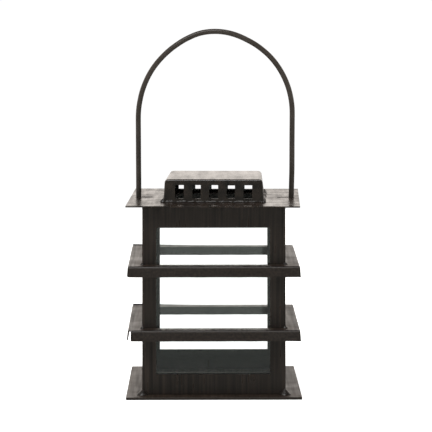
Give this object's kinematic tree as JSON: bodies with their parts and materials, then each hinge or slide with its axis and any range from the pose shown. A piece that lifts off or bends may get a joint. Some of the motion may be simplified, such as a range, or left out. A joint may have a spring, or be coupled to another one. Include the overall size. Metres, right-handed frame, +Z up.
{
  "type": "candle lantern",
  "caption": "Square candle lantern in dark painted sheet steel with clear windows, folded tiers, a wire bail handle and a vented lid that slides up it.",
  "frame": {"origin": "middle of the base plate's underside, on the surface the lantern stands on", "axes": "+Z up through the handle's crown, +X to the right with the handle's legs at left and right, -Y to the front"},
  "size_m": [0.12, 0.1196, 0.2464],
  "materials": {
    "painted_steel_sheet": "semi-gloss brown-black paint over sheet steel, brushed on",
    "painted_steel_wire": "satin brown-black paint over drawn steel wire",
    "painted_weld": "glossy brown-black paint over lumpy weld beads",
    "clear_glass": "clear float glass with cut edges"
  },
  "bodies": {
    "body": {"base_plate": "painted_steel_sheet", "front_panel": "painted_steel_sheet", "right_panel": "painted_steel_sheet", "back_panel": "painted_steel_sheet", "left_panel": "painted_steel_sheet", "front_glass": "clear_glass", "right_glass": "clear_glass", "back_glass": "clear_glass", "left_glass": "clear_glass", "front_glass_channel": "painted_steel_sheet", "right_glass_channel": "painted_steel_sheet", "back_glass_channel": "painted_steel_sheet", "left_glass_channel": "painted_steel_sheet", "lower_tier": "painted_steel_sheet", "upper_tier": "painted_steel_sheet", "base_welds": "painted_weld", "panel_seam_welds": "painted_weld", "lower_tier_welds": "painted_weld", "upper_tier_welds": "painted_weld", "handle": "painted_steel_wire"},
    "lid": {"lid_plate": "painted_steel_sheet", "vent_cap": "painted_steel_sheet", "cap_welds": "painted_weld"}
  },
  "joints": [
    {"name": "lid_lift", "type": "slide", "parent": "body", "child": "lid", "axis": [0, 0, 1], "range_m": [0, 0.075]}
  ]
}
